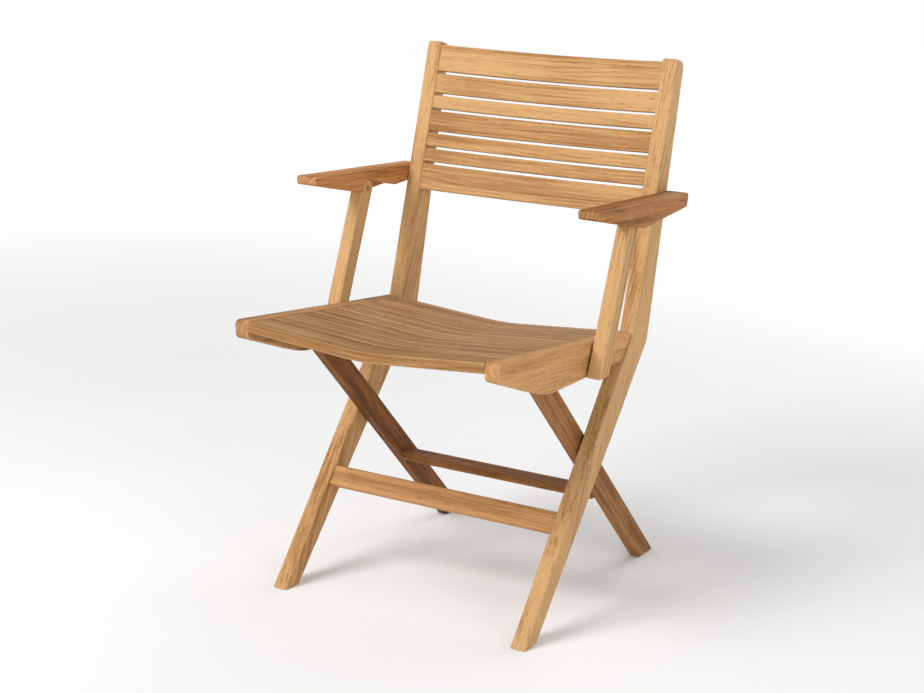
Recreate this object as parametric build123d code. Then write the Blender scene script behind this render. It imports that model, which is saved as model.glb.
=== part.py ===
from build123d import *

import math
import os

# Slatted teak folding armchair, open.  Millimetres, +Z up, the front faces -Y,
# X runs across the chair, the floor is Z = 0 and the origin is the middle of the
# chair's footprint box.  Side shapes are drawn as (y, z) outlines, looking along X.

# ---- across the chair (X) -------------------------------------------------------
width_over_posts = 464.0      # outer faces of the two back posts
post_thickness = 26.0
rail_inset = 2.6              # seat rail outer face in from the post outer face
rear_leg_thickness = 20.0
rear_leg_gap = 0.5            # seat rail inner face to rear leg outer face
side_gap = 0.4                # post outer face to armrest and strut
armrest_width = 37.0
strut_thickness = 24.0

# ---- back posts (each one piece, bent at seat height, standing on the floor) ----
post_foot = (-190.0, 0.0)     # middle of the foot
post_bend = (150.6, 418.4)    # middle of the bend
post_top = (247.5, 853.5)     # middle of the top end
post_foot_width = 37.5        # along the floor
post_bend_width = 58.0
post_top_width = 29.5

# ---- rear legs ------------------------------------------------------------------
leg_pivot = (18.5, 256.0)     # where post and rear leg cross
leg_slope = 43.3              # degrees up from the floor
leg_width = 37.0
leg_top_reach = 222.0         # pivot to the middle of the rounded top end

# ---- seat -----------------------------------------------------------------------
rail_front_top = (-316.7, 466.0)
rail_nose_height = 28.0
rail_flat_height = 388.0      # underside of the deep part of the rail
rail_knee_y = -168.0          # where the rising underside meets the flat
rail_slope = 0.0808           # fall of the seat towards the back, mm per mm
rail_post_gap = 0.5
hinge_inset = 5.0             # seat hinge from the rail's top and from its rear end
seat_slat_widths = (61.0, 25.0, 35.0, 35.0, 25.0, 35.0, 35.0, 25.0, 39.0, 39.0, 40.0)
seat_slat_gap = 4.0
seat_slat_thickness = 16.0
seat_dish = 15.5              # drop of the slats at the middle

# ---- back slats, top one first --------------------------------------------------
back_slat_widths = (45.0, 33.0, 22.0, 34.0, 22.0, 22.0, 44.0)
back_slat_gap = 4.5
back_slat_thickness = 14.0
back_slat_setback = 2.5       # behind the post front face
back_slat_drop = 5.0          # below the post top
back_bow = 18.0               # how far the middle bows backwards

# ---- armrests and struts --------------------------------------------------------
arm_pivot_height = 631.0
arm_pivot_behind_front = 11.0  # arm pivot behind the post front face
arm_pivot_span = 133.6        # arm pivot forward to strut pivot
arm_pivot_fall = 6.5          # strut pivot below arm pivot
armrest_front = 155.0         # ahead of the strut pivot
armrest_rear = 39.0           # behind the arm pivot
armrest_top = 30.5            # top face above the strut pivot
armrest_slope = 0.03          # fall of the top face towards the back, mm per mm
armrest_nose = 14.0           # thickness of the front end
armrest_tail = 23.0           # thickness of the rear end
armrest_belly = 41.0          # thickness over the strut
armrest_wall = 4.0            # wood left outside the blind pivot holes
strut_width = 29.0
strut_foot = 30.0             # below the pivot on the seat rail

# ---- stretchers -----------------------------------------------------------------
front_stretcher_height = 165.4
front_stretcher_size = (16.0, 34.0)    # thickness, depth along the post
front_stretcher_setback = 4.0
rear_stretcher_size = (38.0, 13.0)     # front to back, thickness
rear_stretcher_top = 159.5
rear_stretcher_setback = 4.0           # behind the rear leg's front edge

# ---- joinery and pivots ---------------------------------------------------------
dowel_diameter = 8.0          # stretchers
slat_dowel_diameter = 6.0
dowel_length = 26.0
double_dowel_width = 30.0     # slats wider than this have two dowels at each end
pivot_diameter = 8.0
pivot_slack = 0.05            # radial running clearance
pivot_blind = 6.0             # wood left beyond a blind pivot hole
pivot_end_play = 0.4          # a running hole is this much deeper than its pin
washer_diameter = 16.0
washer_slack = 0.1
plug_diameter = 10.0
plug_depth = 4.0
plate_thickness = 2.0
plate_width = 11.0
plate_gap = 0.1
plate_recess = 1.9            # how deep the post's plate is let into the post
post_plate_reach = 30.0       # down the post from its bend
seat_plate_reach = (-46.0, -26.0)      # along and square to the seat from the hinge
pocket_margin = 6.0           # round the hinge eye, so that the post's plate can swing
rivet_diameter = 5.0
screw_diameter = 3.5
screw_length = 16.0
screw_spacing = 16.0
screw_head_diameter = 7.0
rest_screw_length = 34.0
rest_length = 42.0            # block that the rear leg's top end bears against
rest_overhang = 6.0           # behind the middle of the leg's top end
rest_drop = 4.0               # below the middle of the leg's top end
rest_screw_inset = 9.0
edge_round = 3.0              # soft arris on the heavy timbers
slat_round = 2.0
stretcher_round = 2.5

# ---- fold -----------------------------------------------------------------------
fold_seat = 97.0              # degrees that the seat and the armrests swing up
fold_clearance = 0.6

# ---- derived planes across the chair --------------------------------------------
post_outer = width_over_posts / 2
post_inner = post_outer - post_thickness
rail_outer = post_outer - rail_inset
rail_inner = post_inner + plate_recess - 2 * plate_thickness - plate_gap
leg_outer = rail_inner - rear_leg_gap
leg_inner = leg_outer - rear_leg_thickness
arm_inner = post_outer + side_gap
arm_outer = arm_inner + armrest_width
strut_outer = arm_inner + strut_thickness

SIDES = (("left", -1), ("right", 1))


def unit(a, b):
    """Unit (y, z) direction from a to b."""
    length = math.dist(a, b)
    return ((b[0] - a[0]) / length, (b[1] - a[1]) / length)


def shift(p, direction, distance):
    """The point at a distance from p along a (y, z) direction."""
    return (p[0] + direction[0] * distance, p[1] + direction[1] * distance)


def meet(p, d, q, e):
    """Where the line through p along d meets the line through q along e."""
    t = ((q[0] - p[0]) * e[1] - (q[1] - p[1]) * e[0]) / (d[0] * e[1] - d[1] * e[0])
    return shift(p, d, t)


def at_height(p, d, z):
    """The point of the line through p along d that is at height z."""
    return shift(p, d, (z - p[1]) / d[1])


def side_plate(corners, x0, x1, radii=None):
    """A board lying in the side plane: a (y, z) outline from x0 to x1.

    radii gives the rounding of each corner in the outline, 0 for a sharp one.
    """
    plane = Plane(origin=(x0, 0, 0), x_dir=(0, 1, 0), z_dir=(1, 0, 0))
    outline = make_face(Polyline(*corners, close=True))
    if radii:
        for corner, radius in zip(corners, radii):
            if radius:
                near = outline.vertices().sort_by_distance((corner[0], corner[1], 0))[0]
                outline = fillet(near, radius)
    return extrude(plane * outline, amount=x1 - x0)


def side_rod(center, diameter, x0, x1):
    """A round bar along X through the (y, z) point center."""
    plane = Plane(origin=(x0, center[0], center[1]), x_dir=(0, 1, 0), z_dir=(1, 0, 0))
    return extrude(plane * Circle(diameter / 2), amount=x1 - x0)


def soften(board, radius):
    """Rounds every edge of a side_plate board that doesn't run across the chair."""
    return fillet(board.edges().filter_by(Axis.X, reverse=True), radius)


def sided(solid, side):
    """A right-hand solid, or its mirror image on the left."""
    return solid if side > 0 else mirror(solid, about=Plane.YZ)


def both(solids):
    """Right-hand solids together with their left-hand twins, as one group."""
    return Compound(children=[sided(solid, side) for solid in solids for name, side in SIDES])


parts = {}


def keep(name, shape):
    """Files a finished piece, or a group of like pieces, under its node name."""
    parts[name] = shape


def keep_sides(name, solid):
    """Files a right-hand piece and its left-hand twin."""
    for side_name, side in SIDES:
        keep(f"{name}_{side_name}", sided(solid, side))


# ---- post geometry --------------------------------------------------------------
lower_dir = unit(post_foot, post_bend)
upper_dir = unit(post_bend, post_top)
bend_across = unit((0, 0), (lower_dir[1] + upper_dir[1], -lower_dir[0] - upper_dir[0]))
top_across = (upper_dir[1], -upper_dir[0])
foot_front = (post_foot[0] - post_foot_width / 2, 0.0)
foot_rear = (post_foot[0] + post_foot_width / 2, 0.0)
bend_front = shift(post_bend, bend_across, -post_bend_width / 2)
bend_rear = shift(post_bend, bend_across, post_bend_width / 2)
top_front = shift(post_top, top_across, -post_top_width / 2)
top_rear = shift(post_top, top_across, post_top_width / 2)
front_face_dir = unit(bend_front, top_front)
front_face_out = (-front_face_dir[1], front_face_dir[0])
leg_face_dir = unit(foot_front, bend_front)
leg_face_in = (leg_face_dir[1], -leg_face_dir[0])

# ---- seat rail's top and rear end, with the hinge in the corner between them ----
seat_dir = unit((0, 0), (1, -rail_slope))
seat_normal = (-seat_dir[1], seat_dir[0])
rail_end_line = shift(foot_front, leg_face_in, -rail_post_gap)
rail_rear_top = meet(rail_front_top, seat_dir, rail_end_line, leg_face_dir)
seat_hinge = meet(shift(rail_front_top, seat_normal, -hinge_inset), seat_dir,
                  shift(rail_end_line, leg_face_in, -hinge_inset), leg_face_dir)

# ---- pivots ---------------------------------------------------------------------
arm_pivot = shift(at_height(bend_front, front_face_dir, arm_pivot_height),
                  front_face_out, -arm_pivot_behind_front)
arm_span = (-arm_pivot_span, -arm_pivot_fall)
strut_top = (arm_pivot[0] + arm_span[0], arm_pivot[1] + arm_span[1])
strut_base = (seat_hinge[0] + arm_span[0], seat_hinge[1] + arm_span[1])
strut_dir = unit(strut_base, strut_top)
strut_across = (strut_dir[1], -strut_dir[0])
leg_dir = (-math.cos(math.radians(leg_slope)), math.sin(math.radians(leg_slope)))
leg_across = (-leg_dir[1], leg_dir[0])
leg_top = shift(leg_pivot, leg_dir, leg_top_reach)

# ---- seat rail outline ----------------------------------------------------------
rail_front_bottom = (rail_front_top[0] + 2, rail_front_top[1] - rail_nose_height)
rail_rear_bottom = at_height(rail_end_line, leg_face_dir, rail_flat_height)


def seat_top_at(y):
    """Height of the seat's top line at depth y."""
    return rail_front_top[1] - rail_slope * (y - rail_front_top[0])


# ---- seat hinge: a steel strip on the post riveted to one on the rail -----------
seat_plate_x = (rail_inner, rail_inner + plate_thickness)
post_plate_x = (seat_plate_x[1] + plate_gap, seat_plate_x[1] + plate_gap + plate_thickness)
hinge_eye = plate_width / 2
hinge_pocket = 2 * (hinge_eye + fold_clearance + pocket_margin)
post_plate_end = shift(post_bend, lower_dir, -post_plate_reach)
seat_plate_end = shift(shift(seat_hinge, seat_dir, seat_plate_reach[0]), seat_normal,
                       seat_plate_reach[1])


def hinge_plate(end, x0, x1):
    """A flat strip from the seat hinge to end, with round ends."""
    along = unit(seat_hinge, end)
    across = (-along[1], along[0])
    corners = [shift(seat_hinge, across, hinge_eye), shift(end, across, hinge_eye),
               shift(end, across, -hinge_eye), shift(seat_hinge, across, -hinge_eye)]
    strip = side_plate(corners, x0, x1)
    return strip + side_rod(seat_hinge, plate_width, x0, x1) + side_rod(end, plate_width, x0, x1)


def plate_screws(end):
    """(y, z) places of the two screws of a hinge plate, the far one at its round end."""
    along = unit(end, seat_hinge)
    return [end, shift(end, along, screw_spacing)]


def clear_of_seat_plate(center, diameter):
    """Whether a bar along X through center misses the hinge plate and pocket in the rail."""
    along = unit(seat_hinge, seat_plate_end)
    offset = (center[0] - seat_hinge[0], center[1] - seat_hinge[1])
    reach = offset[0] * along[0] + offset[1] * along[1]
    aside = abs(offset[0] * along[1] - offset[1] * along[0])
    room = diameter / 2 + fold_clearance
    beyond_pocket = math.dist(center, seat_hinge) > hinge_pocket / 2 + room
    beside_plate = aside > hinge_eye + room or reach > math.dist(seat_hinge, seat_plate_end)
    return beyond_pocket and beside_plate


def wood_screw(center, x_head, length):
    """A countersunk screw driven outwards along X, its head flush with x_head."""
    plane = Plane(origin=(x_head, center[0], center[1]), x_dir=(0, 1, 0), z_dir=(1, 0, 0))
    cone = (screw_head_diameter - screw_diameter) / 2
    head = Solid.make_cone(screw_head_diameter / 2, screw_diameter / 2, cone, plane)
    return head + side_rod(center, screw_diameter, x_head + cone, x_head + length)


post_plate_screws = [wood_screw(p, post_plate_x[0], screw_length)
                     for p in plate_screws(post_plate_end)]
seat_plate_screws = [wood_screw(p, seat_plate_x[0], screw_length)
                     for p in plate_screws(seat_plate_end)]
rivet = side_rod(seat_hinge, rivet_diameter, seat_plate_x[0], post_plate_x[1])
post_plate = hinge_plate(post_plate_end, *post_plate_x) - rivet
seat_plate = hinge_plate(seat_plate_end, *seat_plate_x)
seat_plate -= side_rod(seat_hinge, rivet_diameter + 2 * pivot_slack, *seat_plate_x)
for screw in post_plate_screws:
    post_plate -= screw
for screw in seat_plate_screws:
    seat_plate -= screw
keep_sides("post_hinge_plate", post_plate)
keep_sides("seat_hinge_plate", seat_plate)
keep("post_hinge_screws", both(post_plate_screws))
keep("seat_hinge_screws", both(seat_plate_screws))
keep("seat_hinge_rivets", both([rivet]))

# ---- pivot pins and washers -----------------------------------------------------
leg_pin_x = (leg_inner + pivot_blind, post_outer - pivot_blind)
arm_pin_x = (post_inner + pivot_blind, arm_outer - armrest_wall)
strut_top_pin_x = (arm_inner + plug_depth + side_gap, arm_outer - armrest_wall)
strut_base_pin_x = (rail_inner + pivot_blind, strut_outer - pivot_blind)
slack_diameter = pivot_diameter + 2 * pivot_slack


def washer(center, x0, x1):
    """A washer filling the gap between two timbers round a pivot pin."""
    ring = side_rod(center, washer_diameter, x0, x1 - washer_slack)
    return ring - side_rod(center, slack_diameter, x0, x1)


keep("rear_leg_pivot_pins", both([side_rod(leg_pivot, pivot_diameter, *leg_pin_x)]))
keep("rear_leg_washers", both([washer(leg_pivot, leg_outer, post_inner)]))
keep("armrest_pivot_pins", both([side_rod(arm_pivot, pivot_diameter, *arm_pin_x)]))
keep("strut_base_pins", both([side_rod(strut_base, pivot_diameter, *strut_base_pin_x)]))
keep("strut_base_washers", both([washer(strut_base, rail_outer, arm_inner)]))


# ---- dowels across the chair ----------------------------------------------------
def cross_dowel(center, x_joint, diameter):
    """A dowel along X, half in the board and half in the timber beyond x_joint."""
    return side_rod(center, diameter, x_joint - dowel_length / 2, x_joint + dowel_length / 2)


def dowel_spread(width):
    """Offsets of a slat end's dowels from the middle of its width."""
    return (-width / 4, width / 4) if width > double_dowel_width else (0.0,)


def bored(solid, dowels):
    """A right-hand or full-width solid with the holes of right-hand dowels in it."""
    for dowel in dowels:
        solid -= dowel
    return solid


def bored_both(solid, dowels):
    """A full-width board with the dowel holes of both its ends."""
    return bored(bored(solid, dowels), [sided(dowel, -1) for dowel in dowels])


# ---- back slats: bowed boards between the posts ---------------------------------
def back_slat(low, width):
    """A slat bowed backwards, standing on the front-face point low."""
    plane = Plane(origin=(0, low[0], low[1]), x_dir=(1, 0, 0),
                  z_dir=(0, front_face_dir[0], front_face_dir[1]))
    near = back_slat_setback
    far = near + back_slat_thickness
    outline = make_face([
        ThreePointArc((-post_inner, near), (0, near + back_bow), (post_inner, near)),
        Line((post_inner, near), (post_inner, far)),
        ThreePointArc((post_inner, far), (0, far + back_bow), (-post_inner, far)),
        Line((-post_inner, far), (-post_inner, near)),
    ])
    return extrude(plane * outline, amount=width)


def long_edges(board, half_length):
    """The edges of a full-width board that run from end to end."""
    return [e for e in board.edges() if abs(e.center().X) < half_length - 1]


back_dowels = []
s_top = back_slat_drop
for number, width in enumerate(back_slat_widths, start=1):
    s_mid = s_top + width / 2
    low = shift(top_front, front_face_dir, -(s_top + width))
    mid = shift(shift(top_front, front_face_dir, -s_mid), front_face_out,
                -(back_slat_setback + back_slat_thickness / 2))
    dowels = [cross_dowel(shift(mid, front_face_dir, offset), post_inner, slat_dowel_diameter)
              for offset in dowel_spread(width)]
    board = back_slat(low, width)
    board = fillet(long_edges(board, post_inner), slat_round)
    keep(f"back_slat_{number}", bored_both(board, dowels))
    back_dowels += dowels
    s_top += width + back_slat_gap
keep("back_slat_dowels", both(back_dowels))

# ---- stretchers -----------------------------------------------------------------
thick, deep = front_stretcher_size
face_mid = shift(at_height(foot_front, leg_face_dir, front_stretcher_height),
                 leg_face_in, front_stretcher_setback)
back_mid = shift(face_mid, leg_face_in, thick)
front_stretcher = side_plate([shift(face_mid, leg_face_dir, -deep / 2),
                              shift(face_mid, leg_face_dir, deep / 2),
                              shift(back_mid, leg_face_dir, deep / 2),
                              shift(back_mid, leg_face_dir, -deep / 2)],
                             -post_inner, post_inner)
front_stretcher = fillet(long_edges(front_stretcher, post_inner), stretcher_round)
stretcher_mid = shift(face_mid, leg_face_in, thick / 2)
front_stretcher_dowels = [cross_dowel(shift(stretcher_mid, leg_face_dir, offset), post_inner,
                                      dowel_diameter) for offset in (-deep / 4, deep / 4)]
keep("front_stretcher", bored_both(front_stretcher, front_stretcher_dowels))
keep("front_stretcher_dowels", both(front_stretcher_dowels))

deep, thick = rear_stretcher_size
leg_front_edge = shift(leg_pivot, leg_across, leg_width / 2)
rear_y = at_height(leg_front_edge, leg_dir, rear_stretcher_top)[0] + rear_stretcher_setback
rear_bottom = rear_stretcher_top - thick
rear_stretcher = side_plate([(rear_y, rear_bottom), (rear_y, rear_stretcher_top),
                             (rear_y + deep, rear_stretcher_top), (rear_y + deep, rear_bottom)],
                            -leg_inner, leg_inner)
rear_stretcher = fillet(long_edges(rear_stretcher, leg_inner), stretcher_round)
rear_stretcher_dowels = [cross_dowel((rear_y + deep / 2 + offset, rear_bottom + thick / 2),
                                     leg_inner, slat_dowel_diameter)
                         for offset in (-deep / 4, deep / 4)]
keep("rear_stretcher", bored_both(rear_stretcher, rear_stretcher_dowels))
keep("rear_stretcher_dowels", both(rear_stretcher_dowels))

# ---- back posts -----------------------------------------------------------------
post = side_plate([foot_front, bend_front, top_front, top_rear, bend_rear, foot_rear],
                  post_inner, post_outer, radii=(0, 20, 4, 12, 30, 0))
post = soften(post, edge_round)
post -= hinge_plate(post_plate_end, post_inner - 1, post_plate_x[1])
post -= side_rod(leg_pivot, pivot_diameter, post_inner, leg_pin_x[1])
post -= side_rod(arm_pivot, pivot_diameter, arm_pin_x[0], post_outer)
post = bored(post, post_plate_screws + back_dowels + front_stretcher_dowels)
keep_sides("post", post)

# ---- rear legs ------------------------------------------------------------------
leg_end = shift(leg_top, leg_dir, leg_width / 2)
leg_rear_edge = shift(leg_pivot, leg_across, -leg_width / 2)
rear_leg = side_plate([at_height(leg_front_edge, leg_dir, 0.0),
                       shift(leg_end, leg_across, leg_width / 2),
                       shift(leg_end, leg_across, -leg_width / 2),
                       at_height(leg_rear_edge, leg_dir, 0.0)],
                      leg_inner, leg_outer, radii=(0, leg_width * 0.49, leg_width * 0.49, 0))
rear_leg = soften(rear_leg, edge_round)
rear_leg -= side_rod(leg_pivot, slack_diameter, leg_pin_x[0] - pivot_end_play, leg_outer)
rear_leg = bored(rear_leg, rear_stretcher_dowels)
keep_sides("rear_leg", rear_leg)

# ---- seat slats: boards dished across the seat, flush with the rail tops --------
dish_bend_radius = 450.0
dish_angle = math.atan(seat_dish / rail_inner)
dish_apex = seat_dish + dish_bend_radius * (1 / math.cos(dish_angle) - 1)


def seat_slat(start, width):
    """A slat made of two straight halves with a soft bend in the middle."""
    plane = Plane(origin=(0, start, seat_top_at(start)), x_dir=(1, 0, 0),
                  z_dir=(0, seat_dir[0], seat_dir[1]))
    half = rail_inner
    under = seat_slat_thickness
    outline = make_face(Polyline((-half, 0), (0, dish_apex), (half, 0), (half, under),
                                 (0, dish_apex + under), (-half, under), close=True))
    bends = [v for v in outline.vertices() if abs(v.X) < 1]
    return extrude(plane * fillet(bends, dish_bend_radius), amount=width)


seat_dowels = []
slat_start = rail_front_top[0] + 2.0
for number, width in enumerate(seat_slat_widths, start=1):
    mid_y = slat_start + width / 2
    board = fillet(long_edges(seat_slat(slat_start, width), rail_inner), slat_round)
    dowels = []
    for offset in dowel_spread(width):
        y = mid_y + offset
        center = shift((y, seat_top_at(y)), seat_normal, -seat_slat_thickness / 2)
        if clear_of_seat_plate(center, slat_dowel_diameter):
            dowels.append(cross_dowel(center, rail_inner, slat_dowel_diameter))
    keep(f"seat_slat_{number}", bored_both(board, dowels))
    seat_dowels += dowels
    slat_start += (width + seat_slat_gap) * seat_dir[0]
keep("seat_slat_dowels", both(seat_dowels))

# ---- rests that the tops of the rear legs bear against --------------------------
slat_drop = seat_dish * (1 - leg_inner / rail_inner) + seat_slat_thickness + side_gap
rest_front = leg_top[0] - rest_length
rest_back = leg_top[0] + rest_overhang
rest_bottom = leg_top[1] - rest_drop
leg_rest = side_plate([(rest_front, rest_bottom),
                       (rest_front, seat_top_at(rest_front) - slat_drop - 1),
                       (rest_back, seat_top_at(rest_back) - slat_drop - 1),
                       (rest_back, rest_bottom)], leg_inner, rail_inner)
leg_rest -= side_rod(leg_top, leg_width + 2 * side_gap, leg_inner - 1, rail_inner + 1)
rest_screws = [wood_screw((rest_front + rest_screw_inset, rest_bottom + offset), leg_inner,
                          rest_screw_length)
               for offset in (rest_screw_inset, rest_screw_inset + screw_spacing)]
leg_rest = bored(leg_rest, rest_screws)
keep_sides("rear_leg_rest", leg_rest)
keep("rear_leg_rest_screws", both(rest_screws))

# ---- seat rails -----------------------------------------------------------------
rail = side_plate([rail_front_top, rail_front_bottom, (rail_knee_y, rail_flat_height),
                   rail_rear_bottom, rail_rear_top],
                  rail_inner, rail_outer, radii=(8, 10, 200, 3, hinge_inset))
rail = soften(rail, edge_round)
rail -= hinge_plate(seat_plate_end, rail_inner - 1, seat_plate_x[1])
rail -= side_rod(seat_hinge, hinge_pocket, rail_inner - 1, post_plate_x[1] + fold_clearance)
rail -= side_rod(strut_base, pivot_diameter, strut_base_pin_x[0], rail_outer)
rail = bored(rail, seat_plate_screws + seat_dowels + rest_screws)
keep_sides("seat_rail", rail)

# ---- struts ---------------------------------------------------------------------
half = strut_width / 2
foot_height = strut_base[1] - strut_foot
strut_front_line = shift(strut_base, strut_across, -half)
strut_rear_line = shift(strut_base, strut_across, half)
strut = side_plate([at_height(strut_front_line, strut_dir, foot_height),
                    shift(shift(strut_top, strut_across, -half), strut_dir, half),
                    shift(shift(strut_top, strut_across, half), strut_dir, half),
                    at_height(strut_rear_line, strut_dir, foot_height)],
                   arm_inner, strut_outer, radii=(2, half * 0.98, half * 0.98, 2))
strut = soften(strut, edge_round)
plug = side_rod(strut_top, plug_diameter, arm_inner, arm_inner + plug_depth)
strut -= side_rod(strut_top, slack_diameter, arm_inner, strut_outer)
strut -= plug
strut -= side_rod(strut_base, slack_diameter, arm_inner, strut_base_pin_x[1] + pivot_end_play)
keep_sides("strut", strut)
keep_sides("strut_plug", plug)

# ---- armrests -------------------------------------------------------------------
arm_front_y = strut_top[0] - armrest_front
arm_rear_y = arm_pivot[0] + armrest_rear
belly_y = strut_top[0] + half / 2


def armrest_top_at(y):
    """Height of the armrest's top face at depth y."""
    return strut_top[1] + armrest_top - armrest_slope * (y - strut_top[0])


armrest = side_plate([(arm_front_y, armrest_top_at(arm_front_y)),
                      (arm_front_y + 1, armrest_top_at(arm_front_y) - armrest_nose),
                      (belly_y, armrest_top_at(belly_y) - armrest_belly),
                      (arm_rear_y - 4, armrest_top_at(arm_rear_y) - armrest_tail),
                      (arm_rear_y, armrest_top_at(arm_rear_y))],
                     arm_inner, arm_outer, radii=(4, 5, 80, 5, 4))
armrest = soften(armrest, edge_round)


def turned(direction, degrees):
    """A (y, z) direction turned from +Y towards +Z."""
    c = math.cos(math.radians(degrees))
    s = math.sin(math.radians(degrees))
    return (direction[0] * c - direction[1] * s, direction[0] * s + direction[1] * c)


down = (-strut_dir[0], -strut_dir[1])
folded_down = turned(down, fold_seat)
room = half + fold_clearance
front_corner = shift(strut_top, turned(down, -90), room)
roof_corner = shift(strut_top, turned(folded_down, 90), room)
nest = side_plate([front_corner, shift(front_corner, down, 3 * room),
                   shift(shift(strut_top, down, 6 * room), folded_down, 6 * room),
                   shift(roof_corner, folded_down, arm_pivot_span + armrest_rear), roof_corner],
                  arm_inner - 1, strut_outer + side_gap)
nest += side_rod(strut_top, 2 * room, arm_inner - 1, strut_outer + side_gap)
armrest -= nest
armrest -= side_rod(arm_pivot, slack_diameter, arm_inner, arm_pin_x[1] + pivot_end_play)
armrest -= side_rod(strut_top, pivot_diameter, strut_outer, strut_top_pin_x[1])
keep_sides("armrest", armrest)
keep_sides("strut_top_pin", side_rod(strut_top, pivot_diameter, *strut_top_pin_x))

os.makedirs("parts", exist_ok=True)
for name, shape in parts.items():
    export_step(shape, f"parts/{name}.step")
print(len(parts), "nodes")
for name, point in (("seat hinge", seat_hinge), ("leg pivot", leg_pivot), ("arm pivot", arm_pivot),
                    ("strut top", strut_top), ("strut base", strut_base), ("leg top", leg_top)):
    print(name, round(point[0], 3), round(point[1], 3))
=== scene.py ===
# %% [markdown]
# # A slatted teak folding armchair
# The timbers, pins and hinges come in from the imported CAD model as a fixed frame.  This
# notebook gives the chair its looks: boards that bow and dish, grain that follows each
# timber, end grain, worn edges that also carry a painted highlight, and brushed steel.

# %% Load the frame
import math
import bmesh
import bpy
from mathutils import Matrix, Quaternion, Vector


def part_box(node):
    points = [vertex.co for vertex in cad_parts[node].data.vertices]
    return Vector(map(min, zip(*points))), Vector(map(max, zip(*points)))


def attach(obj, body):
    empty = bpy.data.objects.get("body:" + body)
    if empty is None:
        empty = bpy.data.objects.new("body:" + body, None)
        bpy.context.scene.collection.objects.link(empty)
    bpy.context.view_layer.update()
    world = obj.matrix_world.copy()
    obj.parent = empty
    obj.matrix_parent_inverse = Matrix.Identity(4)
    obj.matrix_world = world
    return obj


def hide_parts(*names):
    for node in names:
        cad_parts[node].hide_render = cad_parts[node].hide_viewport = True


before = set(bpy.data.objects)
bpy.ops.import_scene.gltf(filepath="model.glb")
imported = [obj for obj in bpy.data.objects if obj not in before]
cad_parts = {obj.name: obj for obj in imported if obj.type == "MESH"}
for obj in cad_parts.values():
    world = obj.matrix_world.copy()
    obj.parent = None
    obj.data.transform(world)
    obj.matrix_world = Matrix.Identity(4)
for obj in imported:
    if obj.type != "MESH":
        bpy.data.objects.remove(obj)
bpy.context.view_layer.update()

# %% [markdown]
# ## Writing node trees as sums
# Node trees are easier to read as expressions.  `Value` wraps one output socket, so that
# `1 - worn * 0.4` adds its own Math nodes, and `Tree.node` adds any other node from its
# type, its settings and what feeds its sockets.

# %% One socket as a value
class Value:
    """An output socket that takes part in Python sums."""

    def __init__(self, tree, socket):
        self.tree, self.socket = tree, socket

    def math(self, operation, *others):
        return self.tree.node("ShaderNodeMath", {"operation": operation}, [self, *others])

    def __add__(self, other):
        return self.math("ADD", other)

    def __sub__(self, other):
        return self.math("SUBTRACT", other)

    def __mul__(self, other):
        return self.math("MULTIPLY", other)

    def __truediv__(self, other):
        return self.math("DIVIDE", other)

    def __rsub__(self, other):
        return self.tree.node("ShaderNodeMath", {"operation": "SUBTRACT"}, [other, self])

    __radd__, __rmul__ = __add__, __mul__

    def band(self, low, high, start=0.0, end=1.0):
        """Runs smoothly from start to end while this goes from low to high."""
        return self.tree.node("ShaderNodeMapRange", {"interpolation_type": "SMOOTHSTEP"},
                              [self, low, high, start, end])

    def out(self, name):
        """Another output of the node that this socket belongs to."""
        return Value(self.tree, self.socket.node.outputs[name])


print("sockets add, subtract, multiply and divide")


# %% One tree that takes nodes in one line each
class Tree:
    """A shader, world or geometry node tree."""

    def __init__(self, nodes):
        self.nodes = nodes

    def feed(self, socket, value):
        """Links a value to a socket, or sets a plain number, colour, text or material on it."""
        if isinstance(value, Value):
            self.nodes.links.new(value.socket, socket)
        elif isinstance(value, list) and socket.is_multi_input:
            for one in value:
                self.feed(socket, one)
        else:
            socket.default_value = value

    def node(self, kind, settings=None, feeds=(), output=None):
        """Adds a node: settings first, then feeds, a list in socket order or a dict by name."""
        made = self.nodes.nodes.new(kind)
        for key, setting in (settings or {}).items():
            setattr(made, key, setting)
        sockets = [s for s in made.inputs if s.enabled]
        if isinstance(feeds, dict):
            for name, value in feeds.items():
                self.feed(next(s for s in sockets if s.name == name), value)
        else:
            for socket, value in zip(sockets, feeds):
                self.feed(socket, value)
        outs = [s for s in made.outputs if s.enabled and output in (None, s.name)]
        return Value(self, outs[0]) if outs else made

    def blend(self, factor, low, high):
        """Mixes two colours."""
        return self.node("ShaderNodeMix", {"data_type": "RGBA"}, [factor, low, high])

    def vector(self, operation, *feeds):
        return self.node("ShaderNodeVectorMath", {"operation": operation}, feeds)

    def split(self, vector):
        """The X of a vector, with its Y and Z as further outputs."""
        return self.node("ShaderNodeSeparateXYZ", {}, [vector])

    def join(self, **axes):
        """A vector from any of X, Y and Z."""
        return self.node("ShaderNodeCombineXYZ", {}, axes)

    def noise(self, at, scale, detail=2.0, roughness=0.5):
        return self.node("ShaderNodeTexNoise", {}, {"Vector": at, "Scale": scale,
                         "Detail": detail, "Roughness": roughness})


print("tree helpers ready")


# %% Three small helpers for the scene
def new_finish(name):
    """A material with an empty tree to fill."""
    material = bpy.data.materials.new(name)
    material.use_nodes = True
    material.node_tree.nodes.clear()
    return material, Tree(material.node_tree)


def add_object(name, data):
    """Adds an object at the origin of the scene."""
    made = bpy.data.objects.new(name, data)
    bpy.context.scene.collection.objects.link(made)
    return made


def dress(node, material):
    """Gives a CAD piece its finish."""
    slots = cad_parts[node].data.materials
    slots.clear()
    slots.append(material)


print("finishes go on to", len(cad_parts), "CAD pieces")

# %% [markdown]
# ## Where each timber's grain runs
# A sawyer cuts every part along the grain.  Boards that cross the chair have their grain
# along X; posts, legs, rails, armrests and struts lie in the side planes, so their grain is
# turned about X.  `lie` gives the turn that lays a timber's own length along the pattern's
# first axis, from the spread of its outline's points.

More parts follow.
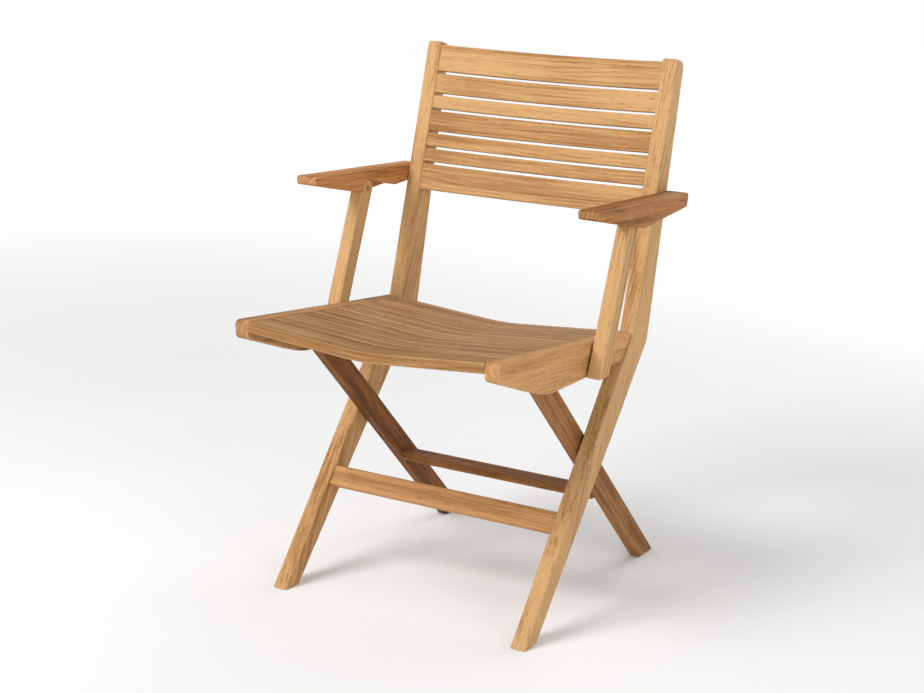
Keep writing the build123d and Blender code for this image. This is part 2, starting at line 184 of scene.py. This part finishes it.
# %% Measure the lie of a side timber
def lie(node):
    """Angle up from +Y of the long way of a side timber."""
    points = {(round(v.co.y, 4), round(v.co.z, 4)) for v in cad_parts[node].data.vertices}
    mid = Vector((sum(p[0] for p in points), sum(p[1] for p in points))) / len(points)
    yy = sum((p[0] - mid.x) ** 2 for p in points)
    zz = sum((p[1] - mid.y) ** 2 for p in points)
    yz = sum((p[0] - mid.x) * (p[1] - mid.y) for p in points)
    return 0.5 * math.atan2(2 * yz, yy - zz)


for node in ("post_left", "rear_leg_left", "seat_rail_left", "armrest_left", "strut_left"):
    print(node, "grain at", round(math.degrees(lie(node)), 1), "degrees")

# %% [markdown]
# ## Teak
# Sawn teak is read at four scales: slow changes of tone along a board, growth rings that
# show as long parallel streaks, fine fibres, and short dark pores.  Rings are rings, so the
# pattern measures how far a point is from the heart of the log and lets noise bend that
# distance.  Cut ends show the rings themselves and drink more oil, so they are duller.
# Edges that hands and sandpaper reach are paler, and the same paleness paints the highlight
# that a rounded arris catches.  A picture of wood would repeat and would
# not turn the corner to the end grain; this solid pattern does both.

# %% Colours of oiled teak
PALE = (0.600, 0.360, 0.155)
DEEP = (0.330, 0.145, 0.042)
PORE = (0.120, 0.048, 0.014)
WEAR_AND_HIGHLIGHT = (0.660, 0.425, 0.215)
END = (0.390, 0.205, 0.100)
RED = (0.375, 0.125, 0.024)


def shade(wood, strength=1.0):
    """A wood colour made lighter or darker."""
    return tuple(part * strength for part in wood) + (1,)


print("pale wood", PALE, "deep wood", DEEP)

# %% [markdown]
# A CAD timber has no map of its own, so its grain is read from where a point lies, turned to
# the timber's length.  The boards that are made further on carry their own unbent
# coordinates, because their grain has to bend with them.

# %% Grain coordinates
SEED_STEP = (0.37, 0.213, 0.117)        # metres that a finish's pattern moves for each seed
BOARD_STEP = (1.37, 0.731, 0.417)       # and for each board of a set


def timber_grain(t, here, facing, turn, across, seed):
    """(grain coordinates, cut ends, edges) of a CAD timber."""
    turned = (0, 0, 0) if across else (-turn, 0, -math.pi / 2)
    at = t.node("ShaderNodeMapping", {"vector_type": "POINT"}, {
        "Vector": here, "Rotation": turned, "Location": tuple(seed * s for s in SEED_STEP)})
    own = t.node("ShaderNodeMapping", {"vector_type": "NORMAL"},
                 {"Vector": facing, "Rotation": turned})
    ends = t.split(t.vector("ABSOLUTE", own)).band(0.86, 0.98)
    face = t.split(t.vector("ABSOLUTE", facing))
    if across:
        return at, ends, (face.out("Y") * face.out("Z") * 2).band(0.2, 0.95)
    return at, ends, (face * (1 - face) * 4).band(0.15, 0.95)


def board_grain(t, facing):
    """(grain coordinates, cut ends, edges, board's number) from what the boards carry."""
    at, board, edge_wear_and_highlight = (t.node("ShaderNodeAttribute", {"attribute_name": name}, output=kind)
                       for name, kind in (("grain_at", "Vector"), ("board", "Fac"),
                                          ("arris", "Fac")))
    ends = t.split(t.vector("ABSOLUTE", facing)).band(0.85, 0.98)
    step = t.join(**{axis: board * s for axis, s in zip("XYZ", BOARD_STEP)})
    return t.vector("ADD", at, step), ends, edge_wear_and_highlight, board


print("each seed moves the pattern", SEED_STEP, "m")

# %% [markdown]
# Growth rings are drawn round a heart that leans a little along the board, so that they run
# out of its faces as real ones do.  Each ring darkens slowly and stops short, which is late
# wood meeting the next spring's growth.

# %% Growth rings
HEART = (0.09, 0.05)          # how far the heart of the log is from the board, Y and Z
HEART_LEAN = (0.03, -0.045)   # and how that changes for each metre of length
RINGS_A_METRE = 150.0
RING_WANDER = 13.0            # rings that the slow noise moves them by


def growth_rings(t, at, wander):
    """The late wood of each ring, from 0 to 1."""
    along = t.split(at)
    y = along.out("Y") + HEART[0] + along * HEART_LEAN[0]
    z = along.out("Z") + HEART[1] + along * HEART_LEAN[1]
    radius = (y * y + z * z).math("SQRT")
    ring = (radius * RINGS_A_METRE + wander * RING_WANDER).math("FRACT")
    return ring.band(0.25, 0.90) * (1 - ring.band(0.91, 1.0))


print(RINGS_A_METRE, "rings a metre")


# %% Build the teak finish
def teak(name, turn=0.0, across=True, seed=0, tone=0.5, red=0.0, dark=1.0, boards=False):
    """A teak finish for one timber, or for a set of boards that carry their own grain.

    turn is the grain's angle up from +Y for a side timber; across says that it runs along X.
    tone mixes pale and deep wood, red warms it, and dark multiplies the colour; on timbers
    under the seat a low dark also paints in the shade that falls there.
    """
    material, t = new_finish(name)
    here = t.node("ShaderNodeTexCoord", output="Object")
    facing = here.out("Normal")
    if boards:
        at, ends, edge_wear_and_highlight, board = board_grain(t, facing)
    else:
        at, ends, edge_wear_and_highlight = timber_grain(t, here, facing, turn, across, seed)

    def grain(along, crosswise, detail, roughness=0.5):
        """Noise drawn out along the grain, in cycles a metre each way."""
        stretched = t.vector("MULTIPLY", at, (along, crosswise, crosswise))
        return t.noise(stretched, 1.0, detail, roughness)

    # tones, rings, streaks, fibres and pores, from the slowest to the finest
    late = growth_rings(t, at, grain(1.3, 7.0, 3.0))
    strong = grain(3.0, 24.0, 1.0).band(0.35, 0.70)
    broad = grain(1.1, 30.0, 2.0, 0.55).band(0.30, 0.70)
    streak = grain(3.0, 95.0, 3.0, 0.6)
    fibre = grain(11.0, 420.0, 3.0, 0.65)
    mineral = grain(2.4, 130.0, 2.0).band(0.60, 0.74)
    pore = grain(55.0, 1150.0, 1.0).band(0.62, 0.74)
    cloud = t.noise(at, 7.0, 3.0)

    mix = late * strong * 0.42 + broad * 0.55 + streak.band(0.32, 0.68) * 0.48
    mix = mix + (fibre - 0.5) * 1.30 + mineral * 0.42 + (cloud - 0.5) * 0.80 + (tone - 0.62)
    if boards:
        chance = t.node("ShaderNodeTexWhiteNoise", {"noise_dimensions": "1D"}, {"W": board + seed})
        mix = mix + (chance - 0.5) * 0.50
    else:
        mix = mix + grain(38.0, 520.0, 2.0).band(0.50, 0.72) * 0.34 - 0.08

    colour = t.blend(mix.band(-0.1, 1.15), shade(PALE, dark), shade(DEEP, dark))
    if red:
        warm = t.blend(mix.band(-0.1, 1.2), shade(RED, dark * 1.45), shade(RED, dark * 0.45))
        colour = t.blend(red, colour, warm)
    # painted highlight: the paler arrises are partly real wear and partly a highlight painted
    # along the rounded edges
    colour = t.blend(edge_wear_and_highlight * (0.06 + streak * 0.24) * (1 - red), colour, shade(WEAR_AND_HIGHLIGHT, dark))
    colour = t.blend(pore * 0.55, colour, shade(PORE))
    end_wood = t.blend(late, shade(END, dark * 1.35), shade(END, dark * 0.85))
    colour = t.blend(ends * 0.55, colour, end_wood)

    rough = 0.50 + fibre * 0.14 + pore * 0.12 + ends * 0.12 - late * 0.04
    height = (1 - pore) * 0.6 + fibre * 0.35 + late * 0.35
    bump = t.node("ShaderNodeBump", {}, {"Strength": 0.28, "Distance": 0.0007, "Height": height})
    skin = t.node("ShaderNodeBsdfPrincipled", {}, {"Base Color": colour, "Roughness": rough,
                  "Normal": bump, "IOR": 1.46, "Specular IOR Level": 0.16})
    t.node("ShaderNodeOutputMaterial", {}, [skin])
    return material


print("teak is ready for timbers and boards")

# %% [markdown]
# ## Timbers of the sides
# Posts, legs, rails, armrests and struts keep their CAD shapes.  Each gets a finish of its
# own, because no two timbers come from the same plank: the posts and struts are pale and the
# armrests redder.  The rear legs are the darkest on the chair: their wood is darker, and they
# are darkened further as painted shade, for the shade under the seat.  The left rail is darkened
# the same way.

# %% Finish the side timbers
FIRST_SIDE_SEED = 41
side_timbers = {
    # timber: (tone, red, dark)
    "post_left": (0.32, 0.04, 0.97),
    "post_right": (0.20, 0.02, 0.97),
    "strut_left": (0.12, 0.00, 0.98),
    "strut_right": (0.24, 0.00, 0.98),
    # painted shade: the left rail's low dark also paints the shade on its face under the seat
    "seat_rail_left": (0.52, 0.20, 0.86),
    "seat_rail_right": (0.44, 0.26, 1.02),
    "armrest_left": (0.48, 0.58, 1.06),
    "armrest_right": (0.60, 0.66, 0.83),
    # painted shade: the rear legs' low dark values are partly darker wood and partly painted shade
    # from the seat
    "rear_leg_left": (0.70, 0.90, 0.68),
    "rear_leg_right": (0.58, 0.50, 0.78),
    "rear_leg_rest_left": (0.70, 0.45, 0.75),
    "rear_leg_rest_right": (0.64, 0.40, 0.75),
}
for seed, (timber, (tone, red, dark)) in enumerate(side_timbers.items(), FIRST_SIDE_SEED):
    dress(timber, teak(f"teak {timber}", lie(timber), False, seed, tone, red, dark))
print("side timbers finished:", len(side_timbers))

# %% [markdown]
# ## Stretchers and small wooden parts
# The two stretchers cross the chair, so their grain runs along X.  The plugs near the tops
# of the struts show a little darker than the struts, and the dowels are paler hardwood.

# %% Finish the stretchers and the small wooden parts
dress("front_stretcher", teak("teak front stretcher", seed=21, tone=0.50, red=0.40, dark=0.98))
# painted shade: the rear stretcher's low dark is partly darker wood and partly painted shade under
# the seat
dress("rear_stretcher", teak("teak rear stretcher", seed=24, tone=0.70, red=0.60, dark=0.68))
plug_wood = teak("teak plugs", seed=31, tone=0.62, red=0.1, dark=0.86)
dowel_wood = teak("dowel wood", seed=33, tone=0.15, dark=1.05)
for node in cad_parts:
    if "dowels" in node:
        dress(node, dowel_wood)
    elif node.startswith("strut_plug"):
        dress(node, plug_wood)
print("stretchers, plugs and dowels finished")

# %% [markdown]
# ## Running a geometry tree
# Slats and screws repeat, so each kind is made by one Geometry Nodes tree that takes a
# point for every copy.  The result is kept as a plain mesh, and the object that ran the tree
# is removed, so nothing live is left on the chair.

# %% Helpers for geometry trees
def new_group(name, given):
    """A geometry tree whose inputs are named in given, each with its kind."""
    group = bpy.data.node_groups.new(name, "GeometryNodeTree")
    for label, kind in given.items():
        group.interface.new_socket(label, in_out="INPUT", socket_type="NodeSocket" + kind)
    group.interface.new_socket("Made", in_out="OUTPUT", socket_type="NodeSocketGeometry")
    return group


def end_tree(t, geometry, finish):
    """Makes every copy real, gives it its finish and ends the tree."""
    real = t.node("GeometryNodeRealizeInstances", {}, [geometry])
    done = t.node("GeometryNodeSetMaterial", {}, {"Geometry": real, "Material": finish})
    t.node("NodeGroupOutput", {}, [done])


def run_tree(name, group, places, attribute, values, sizes):
    """Runs a tree on points that carry one attribute, and returns the mesh it makes."""
    points = bpy.data.meshes.new(name + " points")
    points.from_pydata(places, [], [])
    points.attributes.new(attribute, "FLOAT", "POINT").data.foreach_set("value", values)
    maker = add_object(name + " maker", points)
    modifier = maker.modifiers.new(name, "NODES")
    modifier.node_group = group
    ids = {s.name: s.identifier for s in group.interface.items_tree if s.in_out == "INPUT"}
    for label, size in sizes.items():
        modifier[ids[label]] = size
    bpy.context.view_layer.update()
    evaluated = maker.evaluated_get(bpy.context.evaluated_depsgraph_get())
    mesh = bpy.data.meshes.new_from_object(evaluated)
    mesh.name = name
    bpy.data.objects.remove(maker)
    return mesh


def stand_for(name, mesh, body, nodes, slot):
    """Puts a made mesh on its body in place of the CAD nodes that it stands for."""
    made = add_object(name, mesh)
    if slot == "teak":
        made.modifiers.new("flat faces stay flat", "WEIGHTED_NORMAL").keep_sharp = True
    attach(made, body)
    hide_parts(*nodes)
    print(name, "stands for", len(nodes), "CAD nodes with", len(mesh.polygons), "faces")


print("geometry trees can be run")

# %% [markdown]
# ## Boards of the seat and the back
# A slat is one profile, a rounded rectangle, run across the chair and then bent: the seat's
# slats dip in the middle and the back's bow backwards.  The tree takes one point for each
# board, with its width on the point, runs the profile along X, bends it, and keeps what the
# finish needs: the board's number, its own unbent grain coordinates and how near each point
# is to an arris.

# %% A straight board
RUN_POINTS = 49          # along a board, enough for a smooth bend
ROUND_POINTS = 4         # round each arris
ARRIS_GAIN = 4.0         # the arris falls off quickly, so it is raised


def straight_board(t, width, thick, half, rounding):
    """A rounded board along X, its width along Y and its thickness along Z."""
    line = t.node("GeometryNodeCurvePrimitiveLine", {"mode": "POINTS"},
                  {"Start": t.join(X=half * -1), "End": t.join(X=half)})
    run = t.node("GeometryNodeResampleCurve", {}, {"Curve": line, "Count": RUN_POINTS})
    profile = t.node("GeometryNodeCurvePrimitiveQuadrilateral", {"mode": "RECTANGLE"},
                     {"Width": width, "Height": thick})
    profile = t.node("GeometryNodeFilletCurve", {"mode": "POLY"},
                     {"Curve": profile, "Count": ROUND_POINTS, "Radius": rounding})
    return t.node("GeometryNodeCurveToMesh", {},
                  {"Curve": run, "Profile Curve": profile, "Fill Caps": True})


def keep_grain(t, board, flat, number, arris):
    """Stores what the finish reads, before the board is bent."""
    for label, kind, value in (("grain_at", "FLOAT_VECTOR", flat), ("board", "FLOAT", number),
                               ("arris", "FLOAT", arris * ARRIS_GAIN)):
        board = t.node("GeometryNodeStoreNamedAttribute", {"data_type": kind, "domain": "POINT"},
                       {"Geometry": board, "Name": label, "Value": value})
    return board


print("a board has", RUN_POINTS, "steps along its length")

# %% [markdown]
# Every board has a width of its own, so the tree makes them one at a time in a For Each
# zone, which hands over one point at a time with that point's width and place.

# %% Build the board tree
BOARD_INPUTS = {"Boards": "Geometry", "Half Length": "Float", "Thickness": "Float",
                "Round": "Float", "Dip": "Float", "Bend Radius": "Float", "Along": "Vector",
                "Outwards": "Vector", "Finish": "Material"}
ZONE_GEOMETRY = 2        # the zone's output that holds what each turn made


def board_tree(name, bend):
    """The tree of a set of boards.  bend(t, x, dip, radius) says how far they are bent."""
    group = new_group(name, BOARD_INPUTS)
    t = Tree(group)
    given = t.node("NodeGroupInput")
    thick, rounding = given.out("Thickness"), given.out("Round")
    start = group.nodes.new("GeometryNodeForeachGeometryElementInput")
    end = group.nodes.new("GeometryNodeForeachGeometryElementOutput")
    start.pair_with_output(end)
    end.input_items.new("FLOAT", "Width")
    end.input_items.new("VECTOR", "Place")
    t.feed(start.inputs["Geometry"], given)
    t.feed(start.inputs["Width"], t.node("GeometryNodeInputNamedAttribute",
                                         {"data_type": "FLOAT"}, {"Name": "width"}))
    t.feed(start.inputs["Place"], t.node("GeometryNodeInputPosition"))
    width, place, number = (Value(t, start.outputs[key]) for key in ("Width", "Place", "Index"))

    board = straight_board(t, width, thick, given.out("Half Length"), rounding)
    flat = t.node("GeometryNodeInputPosition")
    x = t.split(flat)
    y, z = x.out("Y"), x.out("Z")
    from_side = (width * 0.5 - y.math("ABSOLUTE")) / rounding
    from_face = (thick * 0.5 - z.math("ABSOLUTE")) / rounding
    arris = (1 - from_side).math("MAXIMUM", 0.0) * (1 - from_face).math("MAXIMUM", 0.0)
    board = keep_grain(t, board, flat, number + 1, arris)

    # lay the width along one direction, the thickness along another, and bend
    depth = z - bend(x, given.out("Dip"), given.out("Bend Radius"))
    spot = t.vector("ADD", t.join(X=x), t.vector("SCALE", given.out("Along"), y))
    spot = t.vector("ADD", spot, t.vector("SCALE", given.out("Outwards"), depth))
    board = t.node("GeometryNodeSetPosition", {},
                   {"Geometry": board, "Position": t.vector("ADD", spot, place)})
    t.feed(end.inputs["Geometry"], board)
    made = t.node("GeometryNodeSetShadeSmooth", {},
                  {"Geometry": Value(t, end.outputs[ZONE_GEOMETRY]), "Shade Smooth": True})
    end_tree(t, made, given.out("Finish"))
    return group


print("board tree inputs:", ", ".join(BOARD_INPUTS))

# %% [markdown]
# The back's bend is one arc from post to post.  The seat's is two straight halves that meet
# in a soft curve: an arc in the middle and a straight slope beyond it.

# %% The two bends
rail_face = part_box("seat_slat_1")[1].x
post_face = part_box("back_slat_1")[1].x
SEAT_DISH, SEAT_BEND_RADIUS = 0.0155, 0.45
BACK_BOW = 0.018
BACK_BEND_RADIUS = (post_face ** 2 + BACK_BOW ** 2) / (2 * BACK_BOW)
seat_slope = math.atan(SEAT_DISH / rail_face)


def arc_bend(x, dip, radius):
    """One arc: dip is how far the middle lies beyond the ends."""
    return (radius * radius - x * x).math("SQRT") - radius + dip


def dish_bend(x, dip, radius):
    """Two straight halves with an arc between them."""
    far = x.math("ABSOLUTE")
    corner = dip + radius * (1 / math.cos(seat_slope) - 1)
    straight = corner - far * math.tan(seat_slope)
    inside = far.math("LESS_THAN", radius * math.sin(seat_slope))
    return arc_bend(x, dip, radius) * inside + straight * (1 - inside)


print("seat slats reach", round(rail_face, 4), "m each way, back slats", round(post_face, 4))

# %% [markdown]
# ## Setting the boards out
# Board places come from the CAD slats that they stand for: the middle of each slat's end
# face, its width along the seat or the back, and the direction of its thickness.

# %% Read the slats' end faces
def end_points(node, half_length):
    """Points of a slat's right-hand end face."""
    return [v.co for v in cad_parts[node].data.vertices
            if abs(v.co.x - half_length) < 2e-5]


def run_direction(first, last, half_length):
    """Unit direction from the first slat's end face to the last one's."""
    mids = []
    for node in (first, last):
        points = end_points(node, half_length)
        mids.append(sum((Vector((0, p.y, p.z)) for p in points), Vector()) / len(points))
    return (mids[1] - mids[0]).normalized()


def end_face(node, half_length, along, outwards):
    """(middle, width, thickness) of a slat's end face."""
    points = end_points(node, half_length)
    (low, high), (under, over) = ((min(p.dot(d) for p in points), max(p.dot(d) for p in points))
                                  for d in (along, outwards))
    return (low + high) / 2 * along + (under + over) / 2 * outwards, high - low, over - under


print("first seat slat's end has", len(end_points("seat_slat_1", rail_face)), "points")


# %% Make a set of boards
ARRIS_RADIUS = 0.002


def make_boards(name, bend, nodes, half_length, along, sizes, finish, body):
    """Makes one mesh of boards and puts it in place of the CAD slats."""
    outwards = Vector((0, -along.z, along.y))
    faces = [end_face(node, half_length, along, outwards) for node in nodes]
    middles, widths, thicknesses = zip(*faces)
    mesh = run_tree(name, board_tree(name + " tree", bend), middles, "width", widths, {
        "Half Length": half_length, "Thickness": thicknesses[0], "Round": ARRIS_RADIUS,
        "Along": along, "Outwards": outwards, "Finish": finish, **sizes})
    stand_for(name, mesh, body, nodes, "teak")
    print("boards are", round(thicknesses[0], 4), "m thick")


print("arrises are rounded to", ARRIS_RADIUS, "m")

# %% [markdown]
# The seat is set out from its front slat backwards.  Its boards are a little darker than the
# back's, and no two of a set have the same tone.

# %% The seat
seat_nodes = [f"seat_slat_{k}" for k in range(1, 12)]
make_boards("seat_boards", dish_bend, seat_nodes, rail_face,
            run_direction(seat_nodes[0], seat_nodes[-1], rail_face),
            {"Dip": SEAT_DISH, "Bend Radius": SEAT_BEND_RADIUS},
            teak("teak seat boards", seed=5, tone=0.56, red=0.08, dark=0.80, boards=True), "seat")

# %% [markdown]
# The back's direction is read from its last slat to its first, which turns the front of its
# boards forwards.

# %% The back
back_nodes = [f"back_slat_{k}" for k in range(1, 8)]
make_boards("back_boards", arc_bend, back_nodes, post_face,
            run_direction(back_nodes[-1], back_nodes[0], post_face),
            {"Dip": BACK_BOW, "Bend Radius": BACK_BEND_RADIUS},
            teak("teak back boards", seed=9, tone=0.36, red=0.06, dark=0.97, boards=True),
            "back_frame")

# %% [markdown]
# ## Steel
# The hinge strips, washers, pins and screws are plain stainless steel with a rolled
# surface: fine lines one way and faint smears.  Stretched noise gives the
# lines, and it only varies the roughness and a shallow bump.

# %% Build the steel finish
BRIGHT_STEEL, DULL_STEEL = (0.56, 0.55, 0.53, 1), (0.42, 0.41, 0.39, 1)


def steel(name, scale):
    """Stainless steel with fine lines; scale is how fast they change along X, Y and Z."""
    material, t = new_finish(name)
    at = t.node("ShaderNodeTexCoord", output="Object")
    lines = t.noise(t.vector("MULTIPLY", at, scale), 1.0, 3.0, 0.6)
    smear = t.noise(at, 60.0, 3.0, 0.55)
    colour = t.blend(smear.band(0.3, 0.75), BRIGHT_STEEL, DULL_STEEL)
    rough = 0.26 + lines * 0.16 + smear * 0.14
    bump = t.node("ShaderNodeBump", {}, {"Strength": 0.15, "Distance": 0.0002, "Height": lines})
    skin = t.node("ShaderNodeBsdfPrincipled", {}, {"Base Color": colour, "Metallic": 1.0,
                  "Roughness": rough, "Normal": bump})
    t.node("ShaderNodeOutputMaterial", {}, [skin])
    return material


rolled = steel("rolled stainless steel", (90.0, 1400.0, 120.0))
turned = steel("turned stainless steel", (1600.0, 200.0, 200.0))
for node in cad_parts:
    if "plate" in node or "washers" in node:
        dress(node, rolled)
    elif any(word in node for word in ("pins", "top_pin", "rivets", "screws")):
        dress(node, turned)
print("steel pieces finished")

# %% [markdown]
# ## Screws
# A countersunk screw is a cone on a shank with a cross-shaped recess.  They are all alike,
# so one Geometry Nodes tree makes the screw once and sets a copy on every point.  The points
# are the middles of the CAD screws' heads, and each point says which way its screw faces.

# %% Find the screws
def islands(vertices):
    """Sets of vertices that edges join."""
    left = set(vertices)
    while left:
        island, edge = set(), [left.pop()]
        while edge:
            vertex = edge.pop()
            island.add(vertex)
            for link in vertex.link_edges:
                other = link.other_vert(vertex)
                if other in left:
                    left.discard(other)
                    edge.append(other)
        yield island


def screw_heads(node):
    """(middle of the head, facing) of every screw in a CAD node; facing is +1 or -1 along X."""
    shape = bmesh.new()
    shape.from_mesh(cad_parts[node].data)
    bmesh.ops.remove_doubles(shape, verts=shape.verts, dist=1e-6)
    heads = []
    for island in islands(shape.verts):
        side = 1 if next(iter(island)).co.x > 0 else -1
        face = min(v.co.x * side for v in island) * side
        rim = [v.co for v in island if abs(v.co.x - face) < 1e-5]
        heads.append((sum(rim, Vector()) / len(rim), side))
    shape.free()
    return heads


print("post hinges have", len(screw_heads("post_hinge_screws")), "screws")

# %% [markdown]
# The recess is a plus of two bars, cut into the wide end of the cone.  Each screw is turned
# about its own axis by a random angle, because screws stop where they are tight.

# %% Build the screw tree
SCREW_SIZES = {"Head Radius": 0.0035, "Shank Radius": 0.00175, "Shank Length": 0.012,
               "Recess Width": 0.0011, "Recess Depth": 0.0012}
HEAD_SIDES, SHANK_SIDES = 40, 24
RECESS_OVER_HEAD = 1.15          # the recess's length over the head's radius
LARGEST_TURN, TURN_SEED = 1.5, 4


def one_screw(t, given):
    """A screw with its head at the origin and its shank along +Z."""
    head, shank, length = (given.out(key) for key in ("Head Radius", "Shank Radius",
                                                      "Shank Length"))
    deep = head - shank
    cone = t.node("GeometryNodeMeshCone", {}, {"Vertices": HEAD_SIDES, "Radius Top": shank,
                  "Radius Bottom": head, "Depth": deep})
    rod = t.node("GeometryNodeMeshCylinder", {}, {"Vertices": SHANK_SIDES, "Radius": shank,
                 "Depth": length})
    rod = t.node("GeometryNodeTransform", {}, {"Geometry": rod,
                 "Translation": t.join(Z=length * 0.5 + deep)})
    wide, narrow = head * RECESS_OVER_HEAD, given.out("Recess Width")
    low = given.out("Recess Depth") * 2
    bars = [t.node("GeometryNodeMeshCube", {}, {"Size": t.join(X=x, Y=y, Z=low)})
            for x, y in ((wide, narrow), (narrow, wide))]
    plus = t.node("GeometryNodeMeshBoolean", {"operation": "UNION", "solver": "EXACT"}, [bars])
    top = t.node("GeometryNodeMeshBoolean", {"operation": "DIFFERENCE", "solver": "EXACT"},
                 [cone, plus])
    return t.node("GeometryNodeJoinGeometry", {}, [[rod, top]])


def screw_tree():
    """Sets a countersunk cross-head screw on every point, facing the point's side."""
    group = new_group("countersunk screws", {"Heads": "Geometry", "Finish": "Material",
                                             **dict.fromkeys(SCREW_SIZES, "Float")})
    t = Tree(group)
    given = t.node("NodeGroupInput")
    side = t.node("GeometryNodeInputNamedAttribute", {"data_type": "FLOAT"}, {"Name": "side"})
    set_on = t.node("GeometryNodeInstanceOnPoints", {}, {"Points": given,
                    "Instance": one_screw(t, given), "Rotation": t.join(Y=side * (math.pi / 2))})
    turn = t.node("FunctionNodeRandomValue", {"data_type": "FLOAT"},
                  {"Min": 0.0, "Max": LARGEST_TURN, "Seed": TURN_SEED})
    set_on = t.node("GeometryNodeRotateInstances", {}, {"Instances": set_on,
                    "Rotation": t.join(Z=turn), "Local Space": True})
    end_tree(t, set_on, given.out("Finish"))
    return group


screws = screw_tree()
print("screw inputs:", ", ".join(SCREW_SIZES))

# %% [markdown]
# The screws through the posts turn with the back, and the others stay with the seat, so they
# are two meshes.

# %% Set the screws
def set_screws(name, nodes, body):
    """Makes the screws of some CAD nodes and puts them in their place."""
    middles, sides = zip(*(head for node in nodes for head in screw_heads(node)))
    mesh = run_tree(name, screws, middles, "side", sides, {**SCREW_SIZES, "Finish": turned})
    stand_for(name, mesh, body, nodes, "steel")


set_screws("post_screws", ["post_hinge_screws"], "back_frame")
set_screws("seat_screws", ["seat_hinge_screws", "rear_leg_rest_screws"], "seat")

# %% [markdown]
# ## Floor, light and camera
# The chair stands on a plain pale floor that brightens with distance, so that it has no
# visible edge.

# %% Floor
FLOOR_RADIUS = 60.0
floor_mesh = bpy.data.meshes.new("floor")
shape = bmesh.new()
bmesh.ops.create_circle(shape, cap_ends=True, radius=FLOOR_RADIUS, segments=96)
shape.to_mesh(floor_mesh)
shape.free()
floor = add_object("floor", floor_mesh)
floor.location = (0, 0, -0.0005)        # just clear of the feet
paper, t = new_finish("pale floor")
there = t.node("ShaderNodeTexCoord", output="Object")
tint = t.blend(t.noise(there, 3.0, 3.0), (0.88, 0.88, 0.88, 1), (0.91, 0.91, 0.91, 1))
glow = t.vector("LENGTH", there).band(1.2, 5.0)
t.node("ShaderNodeOutputMaterial", {}, [t.node("ShaderNodeBsdfPrincipled", {}, {
    "Base Color": tint, "Roughness": 0.9, "Specular IOR Level": 0.1, "Emission Strength": 0.55,
    "Emission Color": t.blend(glow, (0, 0, 0, 1), (1, 1, 1, 1))})])
floor_mesh.materials.append(paper)
print("floor of", FLOOR_RADIUS, "m radius")

# %% [markdown]
# A big soft light stands at the upper left, with a weaker one on the right so that the
# shaded sides keep their grain, and one behind that edges the timbers.  The walls fade from
# white at the floor to grey overhead.

# %% Lights
def soft_light(name, place, target, size, power):
    """A rectangular light of some watts that faces a target."""
    light = bpy.data.lights.new(name, "AREA")
    light.shape, light.size, light.size_y = "RECTANGLE", size[0], size[1]
    light.energy = power
    holder = add_object(name, light)
    holder.location = place
    holder.rotation_euler = (Vector(target) - Vector(place)).to_track_quat("-Z", "Y").to_euler()


soft_light("key", (-1.5, -2.7, 3.0), (0, 0, 0.4), (1.8, 1.8), 113)
soft_light("fill", (3.2, -1.8, 1.6), (0, 0, 0.45), (2.4, 2.0), 31)
soft_light("rim", (0.5, 3.2, 2.6), (0, 0, 0.5), (2.4, 1.6), 40)
world = bpy.data.worlds.new("studio")
world.use_nodes = True
world.node_tree.nodes.clear()
t = Tree(world.node_tree)
height = t.split(t.node("ShaderNodeTexCoord")).out("Z")
walls = t.blend(height.band(0.04, 0.32), (1, 1, 1, 1), (0.46, 0.46, 0.46, 1))
t.node("ShaderNodeOutputWorld", {}, [t.node("ShaderNodeBackground", {}, {"Color": walls})])
bpy.context.scene.world = world
bpy.context.scene.view_settings.view_transform = "Standard"
print("key, fill, rim and studio walls")

# %% [markdown]
# The camera stands at the chair's front right, a little above the seat, with a long lens
# and a slight roll.  Its three angles and its place set it, so that they can be read.

# %% Camera
azimuth, elevation, roll = (math.radians(a) for a in (29.74, 13.79, 1.88))
back = Vector((math.sin(azimuth) * math.cos(elevation), -math.cos(azimuth) * math.cos(elevation),
               math.sin(elevation)))
lens = bpy.data.cameras.new("camera")
lens.sensor_width, lens.lens = 36.0, 69.97
lens.clip_end = 200
camera = add_object("camera", lens)
camera.location = (1.3798, -2.4380, 1.0830)
camera.rotation_mode = "QUATERNION"
camera.rotation_quaternion = Quaternion(back, roll) @ (-back).to_track_quat("-Z", "Y")
bpy.context.scene.camera = camera
print("camera at", [round(c, 3) for c in camera.location])
